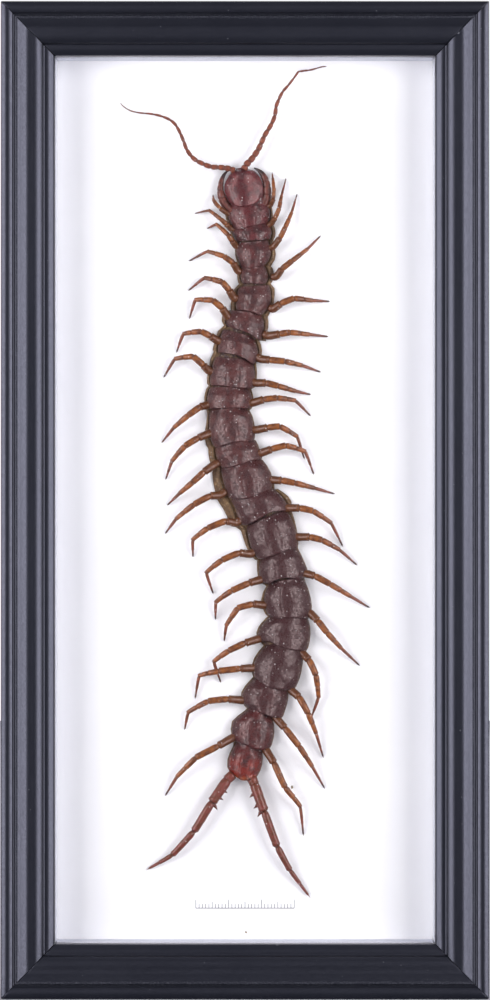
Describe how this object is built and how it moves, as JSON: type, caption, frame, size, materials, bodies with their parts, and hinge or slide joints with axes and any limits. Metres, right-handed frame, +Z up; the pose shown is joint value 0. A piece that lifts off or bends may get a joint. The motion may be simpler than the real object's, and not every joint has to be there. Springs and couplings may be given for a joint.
{
  "type": "framed giant centipede specimen",
  "caption": "Dried giant centipede laid full length on a white card in a glazed, black moulded box frame that hangs on a wall or stands on its lower edge.",
  "frame": {"origin": "middle of the width and of the whole depth, hanger included, on the frame's lower edge", "axes": "+X to the right seen from the front, +Y from the front towards the wall, +Z up along the frame's long side, towards the animal's head"},
  "size_m": [0.1466, 0.0324, 0.2995],
  "materials": {
    "black_lacquer": "satin black lacquer on a moulded wood rail",
    "picture_glass": "clear polished picture glass",
    "white_foam": "matt white foam strip",
    "white_card": "smooth matt white card",
    "brown_hardboard": "raw brown hardboard",
    "zinc_steel": "bright zinc-plated sheet steel",
    "back_plates": "dried dark plum-brown cuticle with a soft sheen",
    "head_shield": "dried red-brown cuticle with a soft sheen",
    "feeler_cuticle": "dried red-brown jointed cuticle",
    "claw_cuticle": "dried dark red cuticle with black points",
    "leg_cuticle": "dried amber-brown cuticle, darker towards the claws"
  },
  "bodies": {
    "root": {"rail_top": "black_lacquer", "rail_bottom": "black_lacquer", "rail_left": "black_lacquer", "rail_right": "black_lacquer", "glass_pane": "picture_glass", "spacer_top": "white_foam", "spacer_bottom": "white_foam", "spacer_left": "white_foam", "spacer_right": "white_foam", "mount_card": "white_card", "back_board": "brown_hardboard", "hanger_plate": "zinc_steel", "head": "head_shield", "trunk": "back_plates", "antenna_left": "feeler_cuticle", "antenna_right": "feeler_cuticle", "forcipule_left": "claw_cuticle", "forcipule_right": "claw_cuticle", "leg_left_01": "leg_cuticle", "leg_left_02": "leg_cuticle", "leg_left_03": "leg_cuticle", "leg_left_04": "leg_cuticle", "leg_left_05": "leg_cuticle", "leg_left_06": "leg_cuticle", "leg_left_07": "leg_cuticle", "leg_left_08": "leg_cuticle", "leg_left_09": "leg_cuticle", "leg_left_10": "leg_cuticle", "leg_left_11": "leg_cuticle", "leg_left_12": "leg_cuticle", "leg_left_13": "leg_cuticle", "leg_left_14": "leg_cuticle", "leg_left_15": "leg_cuticle", "leg_left_16": "leg_cuticle", "leg_left_17": "leg_cuticle", "leg_left_18": "leg_cuticle", "leg_left_19": "leg_cuticle", "leg_left_20": "leg_cuticle", "leg_left_21": "leg_cuticle", "leg_right_01": "leg_cuticle", "leg_right_02": "leg_cuticle", "leg_right_03": "leg_cuticle", "leg_right_04": "leg_cuticle", "leg_right_05": "leg_cuticle", "leg_right_06": "leg_cuticle", "leg_right_07": "leg_cuticle", "leg_right_08": "leg_cuticle", "leg_right_09": "leg_cuticle", "leg_right_10": "leg_cuticle", "leg_right_11": "leg_cuticle", "leg_right_12": "leg_cuticle", "leg_right_13": "leg_cuticle", "leg_right_14": "leg_cuticle", "leg_right_15": "leg_cuticle", "leg_right_16": "leg_cuticle", "leg_right_17": "leg_cuticle", "leg_right_18": "leg_cuticle", "leg_right_19": "leg_cuticle", "leg_right_20": "leg_cuticle", "leg_right_21": "leg_cuticle"}
  },
  "joints": []
}
